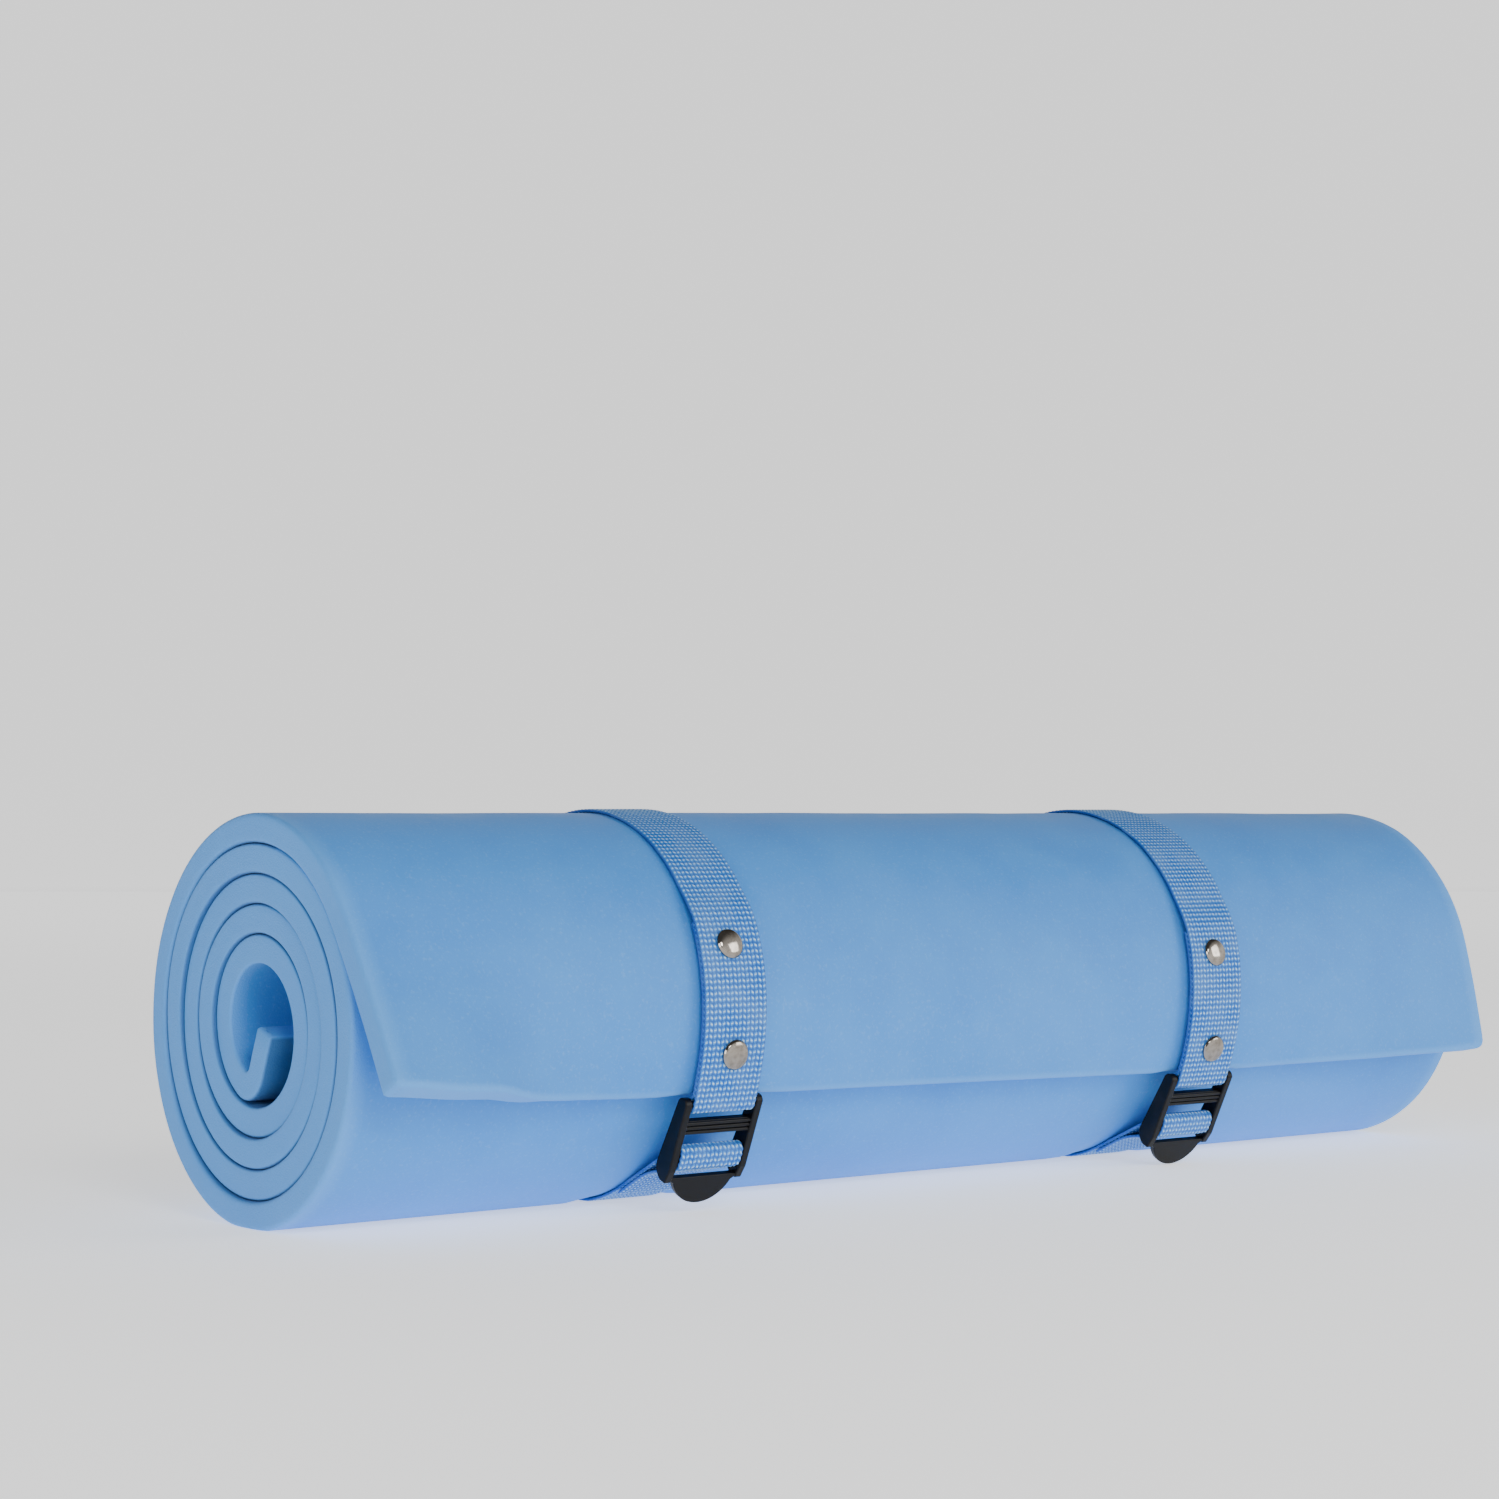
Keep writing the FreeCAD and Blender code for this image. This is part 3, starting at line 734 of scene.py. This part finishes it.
def load_run(strap):
    """Heading and ends of the straight run from the roll's underside to the lock bar."""
    upper, _ = lock_bar_ends(strap)
    tangent = TANGENT_GUESS
    for _ in range(TANGENT_ROUNDS):
        orbit = surface_radius(tangent) + FIRST_PLY
        reach = float(np.linalg.norm(upper))
        spread = math.degrees(math.acos(-(orbit + WRAP_RADIUS) / reach))
        heading = angle_of(upper) - 90 + spread
        tangent = heading - 90 + 360
    return heading, polar(orbit, tangent), upper + polar(WRAP_RADIUS, heading + 90)


def turn_in(strap):
    """The inner ply rounds the flap's edge and runs in under it to the top bar's loop."""
    edge = strap["flap"]
    bend = polar(surface_radius(edge) + FIRST_PLY - EDGE_BEND, edge)
    bar = bar_centre(strap)
    reach = float(np.linalg.norm(bar - bend))
    lean = math.degrees(math.asin((EDGE_BEND + LOOP_RADIUS) / reach))
    heading = angle_of(bar - bend) - lean
    route = arc_points(bend, EDGE_BEND, edge, heading + 90)
    return route + arc_points(bar, LOOP_RADIUS, heading - 90, facing(strap))


def loop_route(strap):
    """Fold-back ply, loop round the top bar, outer ply, over the top and down to the seam."""
    fold_end = strap["upper"] + FOLD_BEYOND_RIVET
    pinch = strap["lower"] - PINCH_BELOW_RIVET
    bar = facing(strap)
    route = []
    for angle in steps(fold_end, strap["flap"], PLY_STEP)[:-1]:
        route.append(polar(surface_radius(angle) + FIRST_PLY, angle))
    route += turn_in(strap)
    opening = BAR_ORBIT + LOOP_RADIUS - surface_radius(bar) - FIRST_PLY - PLY_RISE
    for angle in steps(bar, pinch, PLY_STEP / 2)[1:-1]:
        closing = smooth((pinch - angle) / (pinch - bar))
        radius = surface_radius(angle) + FIRST_PLY + PLY_RISE + opening * closing
        route.append(polar(radius, angle))
    for angle in steps(pinch, SEAM_ANGLE, PLY_STEP):
        ramp = smooth((fold_end + FOLD_RAMP - angle) / FOLD_RAMP)
        radius = surface_radius(angle) + FIRST_PLY + PLY_RISE * ramp
        route.append(settled(polar(radius, angle)))
    return route


def adjuster_route(strap):
    """From the seam up to the lock bar, round it, and back as the free tail."""
    heading, leave, touch = load_run(strap)
    upper, lower = lock_bar_ends(strap)
    tangent = angle_of(leave) % 360
    route = []
    for angle in steps(SEAM_ANGLE, tangent, PLY_STEP)[:-1]:
        route.append(settled(polar(surface_radius(angle) + FIRST_PLY, angle)))
    route += line_points(leave, touch)[:-1]
    route += arc_points(upper, WRAP_RADIUS, heading + 90, facing(strap))
    route += arc_points(lower, WRAP_RADIUS, facing(strap), TAIL_HEADING + 90 - 360)
    route.append(route[-1] + unit(TAIL_HEADING) * TAIL_LEAD)
    below = unit(heading - 90) * TAIL_OFFSET
    route += line_points(touch - unit(heading) * TAIL_FREE_RUN + below, leave + below)
    for angle in steps(tangent, tangent - TAIL_END_PAST_TANGENT, PLY_STEP / 2)[1:]:
        route.append(polar(surface_radius(angle) + FIRST_PLY + TAIL_OFFSET, angle))
    return route


def lengths_along(points):
    """Length along a row of points, from the first to each."""
    return np.concatenate([[0], np.cumsum(np.linalg.norm(np.diff(points, axis=0), axis=1))])


def resampled(route, size):
    """Even stations along a smooth curve through the route: points, normals and lengths."""
    route = np.array(route)
    chord = lengths_along(route)
    slopes = np.gradient(route, chord, axis=0)
    fine = np.linspace(0, chord[-1], int(chord[-1] / CURVE_STEP))
    i = np.clip(np.searchsorted(chord, fine) - 1, 0, len(chord) - 2)
    width = (chord[i + 1] - chord[i])[:, None]
    t = (fine - chord[i])[:, None] / width
    blend = 3 * t**2 - 2 * t**3
    curve = route[i] * (1 - blend) + route[i + 1] * blend
    curve += slopes[i] * width * (t**3 - 2 * t**2 + t) + slopes[i + 1] * width * (t**3 - t**2)
    along = lengths_along(curve)
    count = round(along[-1] / size)
    places = np.linspace(0, along[-1], count + 1)
    points = np.stack([np.interp(places, along, curve[:, k]) for k in (0, 1)], -1)
    heading = np.gradient(points, axis=0)
    heading /= np.linalg.norm(heading, axis=1)[:, None]
    return points, np.stack([-heading[:, 1], heading[:, 0]], -1), places


def weave_height(across, along):
    """Relief of the weave, 0 to 1: slanted stitches side by side, every other one half-way on."""
    column = np.floor(across / CORD_WIDTH)
    a = across / CORD_WIDTH - column - 0.5
    odd = column % 2
    slant = np.where(odd > 0, STITCH_SLANT, -STITCH_SLANT)
    b = along / STITCH_LENGTH + slant * a
    b = b - np.floor(b) - 0.5
    return np.sqrt(np.clip(np.cos(math.pi * a), 0, 1)) * np.cos(math.pi * b) ** 2


def skewed(strap, points):
    """How far right of the buckle the webbing lies, rising over the top of the roll."""
    front, up = points.T
    leans = [smooth((up - start) / over) for start, over in (SKEW_BACK, SKEW_FRONT)]
    return strap["skew"] * np.where(front < 0, *leans)


def webbing(name, side, route, start=0.0):
    """A length of woven webbing along a route, its weave continuing from start."""
    strap = STRAPS[side]
    points, normals, places = resampled(route, STITCH_LENGTH / STITCH_STEPS)
    cords = round(WEBBING_WIDTH / CORD_WIDTH)
    half = WEBBING_WIDTH / 2
    columns = np.linspace(-half, half, cords * CORD_STEPS + 1)
    across = np.concatenate([columns, columns[::-1]])
    face = np.repeat([1.0, -1.0], len(columns))
    along, width = np.meshgrid(places + start, across + half, indexing="ij")
    relief = weave_height(np.minimum(width, WEBBING_WIDTH - EDGE_TRIM), along)
    edge = np.minimum(width, WEBBING_WIDTH - width)
    selvedge = SELVEDGE_SHARE + (1 - SELVEDGE_SHARE) * smooth(edge / SELVEDGE_WIDTH)
    core = WEBBING_THICKNESS / 2 - WEAVE_HEIGHT * WEAVE_SUNK
    lift = (core + WEAVE_HEIGHT * relief) * selvedge * face
    beat = np.cos(2 * math.pi * along / STITCH_LENGTH)
    bulge = BULGE * beat * (1 - smooth(edge / BULGE_WIDTH))
    x = strap_x(side) + skewed(strap, points)[:, None] + across * (1 + bulge / half)
    place = points[:, None, :] + normals[:, None, :] * lift[:, :, None]
    vertices = to_world(x, place[:, :, 0], place[:, :, 1])
    vertices[:, 2] = np.maximum(vertices[:, 2], 0.0)
    rings, ring_size = x.shape
    faces = ring_faces(rings, ring_size)
    faces.append(list(range(ring_size)))
    faces.append(list(range(rings * ring_size - 1, (rings - 1) * ring_size - 1, -1)))
    uv = np.stack([width.ravel(), along.ravel()], -1) * MM * UV_PER_METRE
    made = grid_mesh(name, vertices, faces, [("weave", relief.ravel())], uv)
    return made, places[-1] + start


# ---- rivets ----


def lathe(name, profile, turns=CAP_TURNS):
    """A turned shape about +Z from (radius, height) pairs, the first and last on the axis."""
    points = [(0.0, 0.0, profile[0][1])]
    for radius, height in profile[1:-1]:
        for i in range(turns):
            x, y = unit(360 * i / turns) * radius
            points.append((x, y, height))
    points.append((0.0, 0.0, profile[-1][1]))
    faces = []
    last = len(points) - 1
    rows = len(profile) - 2
    for i in range(turns):
        j = (i + 1) % turns
        faces.append([0, 1 + j, 1 + i])
        for row in range(rows - 1):
            base = 1 + row * turns
            faces.append([base + i, base + j, base + turns + j, base + turns + i])
        top = 1 + (rows - 1) * turns
        faces.append([top + i, top + j, last])
    return grid_mesh(name, np.array(points) * MM, faces)


def cap_profile():
    """A domed cap with a rolled rim that tucks under to the webbing."""
    outline = [(0.0, CAP_HOLLOW), (CAP_RADIUS - CAP_UNDERCUT, 0.0)]
    for angle in steps(-90, CAP_RIM_END, RIM_STEP):
        bend = unit(angle) * CAP_RIM
        outline.append((CAP_RADIUS - CAP_RIM + bend[0], CAP_RIM + bend[1]))
    reach, rise = outline[-1]
    for share in steps(DOME_FROM, 1.0, DOME_STEP)[:-1]:
        height = rise + (CAP_HEIGHT - rise) * math.sin(share * math.pi / 2)
        outline.append((reach * math.cos(share * math.pi / 2), height))
    return outline + [(0.0, CAP_HEIGHT)]


def rivet_cap(side, name):
    """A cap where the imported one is, standing on the webbing and facing out of the roll."""
    node = f"{side}_{name}_rivet_cap"
    low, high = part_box(node)
    made = lathe(f"{side}_{name}_rivet_dome", cap_profile())
    angle = STRAPS[side][name]
    seat = surface_radius(angle) + STRAP_CLEARANCE + 2 * WEBBING_THICKNESS + PLY_GAP - CAP_SINK
    place = to_world((low.x + high.x) / 2 / MM, *polar(seat, angle))[0]
    made.location = place
    outward = Vector((0.0, -math.cos(math.radians(angle)), math.sin(math.radians(angle))))
    made.rotation_mode = "QUATERNION"
    made.rotation_quaternion = outward.to_track_quat("Z", "Y")
    return made


# ---- putting the object together ----


def paint(piece, material):
    piece.data.materials.clear()
    piece.data.materials.append(material)


def dress(piece, material, body=None):
    paint(piece, material)
    if body:
        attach(piece, body)


def build_straps():
    cloth = webbing_material()
    plastic = plastic_material()
    metal = rivet_material()
    for side, strap in STRAPS.items():
        loop, woven = webbing(f"{side}_strap_loop", side, loop_route(strap))
        dress(loop, cloth, f"{side}_strap")
        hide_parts(f"{side}_webbing")
        run, _ = webbing(f"{side}_strap_adjuster", side, adjuster_route(strap), woven)
        dress(run, cloth)
        heading, leave, touch = load_run(strap)
        near = touch - unit(heading) * BEND_END
        start = to_world(strap_x(side), *leave)[0]
        end = to_world(strap_x(side), *near)[0]
        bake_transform(run)
        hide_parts(f"{side}_webbing_wrap", f"{side}_webbing_tail")
        paint(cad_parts[f"{side}_ladder_lock"], plastic)
        for name in ("upper", "lower"):
            cap = rivet_cap(side, name)
            dress(cap, metal, f"{side}_strap")
            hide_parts(f"{side}_{name}_rivet_cap")
            paint(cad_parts[f"{side}_{name}_rivet_back"], metal)


def build_foam():
    roll = foam_roll()
    dress(roll, foam_material(), "pad")
    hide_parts("foam_pad")


# ---- stage ----

CAMERA_YAW = 38.48  # the view looks this far round from +Y towards +X
CAMERA_PITCH = 1.17
CAMERA_FROM_MIDDLE = (-899.6, -1048.3, 79.4)  # from the middle of the roll's axis
CAMERA_LENS = 76.5
CAMERA_SENSOR = 36.0
CAMERA_CLIP = (0.05, 50.0)

# The studio's floor and wall, in metres
FLOOR_REACH = 20.0
SWEEP_START = 5.0
SWEEP_RADIUS = 2.0
WALL_HEIGHT = 5.0
FLOOR_GLOW = 0.8
WALL_GLOW = 1.25
GLOW_FADE = (1.2, 3.5)  # distances between which the floor turns from lit to glowing
LIGHT_FROM = (0.35, -0.45, -0.82)  # the world is brightest towards here
WORLD_FADE = {"From Min": -0.35, "From Max": 0.5, "To Min": 0.12, "To Max": 1.6}
SWEEP_STEP = 5  # angle between the sweep's mesh rows

# Soft lights: place, the point aimed at, width and height, and power
LIGHTS = {
    "key": ((-0.9, -2.2, 1.35), (0, 0, 0.08), (0.9, 0.6), 24.0),
    "fill": ((1.6, -2.0, 0.9), (0.2, 0, 0.08), (1.2, 1.0), 20.0),
    "end_light": ((-2.6, -0.9, 0.5), (-0.3, 0, 0.08), (1.0, 1.0), 17.0),
}


def area_light(name, place, aim, size, power):
    light = bpy.data.lights.new(name, "AREA")
    light.shape = "RECTANGLE"
    light.size, light.size_y = size
    light.energy = power
    lamp = bpy.data.objects.new(name, light)
    lamp.location = place
    direction = Vector(aim) - Vector(place)
    lamp.rotation_mode = "QUATERNION"
    lamp.rotation_quaternion = direction.to_track_quat("-Z", "Y")
    bpy.context.scene.collection.objects.link(lamp)


def build_camera():
    camera = bpy.data.objects.new("camera", bpy.data.cameras.new("camera"))
    camera.data.lens = CAMERA_LENS
    camera.data.sensor_width = CAMERA_SENSOR
    camera.data.clip_start, camera.data.clip_end = CAMERA_CLIP
    x, y, z = CAMERA_FROM_MIDDLE
    camera.location = (x * MM, AXIS_Y + y * MM, AXIS_Z + z * MM)
    camera.rotation_euler = (math.radians(90 + CAMERA_PITCH), 0.0, -math.radians(CAMERA_YAW))
    bpy.context.scene.collection.objects.link(camera)
    bpy.context.scene.camera = camera


def build_backdrop():
    """A pale floor that sweeps up into a wall far behind the object."""
    profile = [(-FLOOR_REACH, 0.0), (SWEEP_START, 0.0)]
    for angle in steps(-90, 0, SWEEP_STEP):
        bend = unit(angle) * SWEEP_RADIUS
        profile.append((SWEEP_START + bend[0], SWEEP_RADIUS + bend[1]))
    profile.append((SWEEP_START + SWEEP_RADIUS, WALL_HEIGHT))
    ahead = np.array([math.sin(math.radians(CAMERA_YAW)), math.cos(math.radians(CAMERA_YAW))])
    beside = np.array([ahead[1], -ahead[0]])
    points = []
    for away, height in profile:
        for reach in (-FLOOR_REACH, FLOOR_REACH):
            points.append((*(ahead * away + beside * reach), height))
    faces = [[i, i + 1, i + 3, i + 2] for i in range(0, len(points) - 2, 2)]
    sweep = grid_mesh("studio_sweep", np.array(points), faces)
    sweep.data.materials.append(floor_material())


def build_world():
    """Soft light all round, brightest low at the front right and dim from overhead."""
    world = bpy.data.worlds.new("studio")
    world.use_nodes = True
    bpy.context.scene.world = world
    tree = world.node_tree
    background = tree.nodes["Background"]
    direction = tree.nodes.new("ShaderNodeTexCoord")
    towards = tree.nodes.new("ShaderNodeVectorMath")
    towards.operation = "DOT_PRODUCT"
    towards.inputs[1].default_value = LIGHT_FROM
    fade = tree.nodes.new("ShaderNodeMapRange")
    fade.interpolation_type = "SMOOTHSTEP"
    for key, value in WORLD_FADE.items():
        fade.inputs[key].default_value = value
    tree.links.new(direction.outputs["Generated"], towards.inputs[0])
    tree.links.new(towards.outputs["Value"], fade.inputs["Value"])
    tree.links.new(fade.outputs["Result"], background.inputs["Strength"])
    background.inputs["Color"].default_value = (1.0, 1.0, 1.0, 1.0)


def build_stage():
    build_backdrop()
    build_world()
    for name, settings in LIGHTS.items():
        area_light(name, *settings)


build_camera()
build_foam()
build_straps()
build_stage()
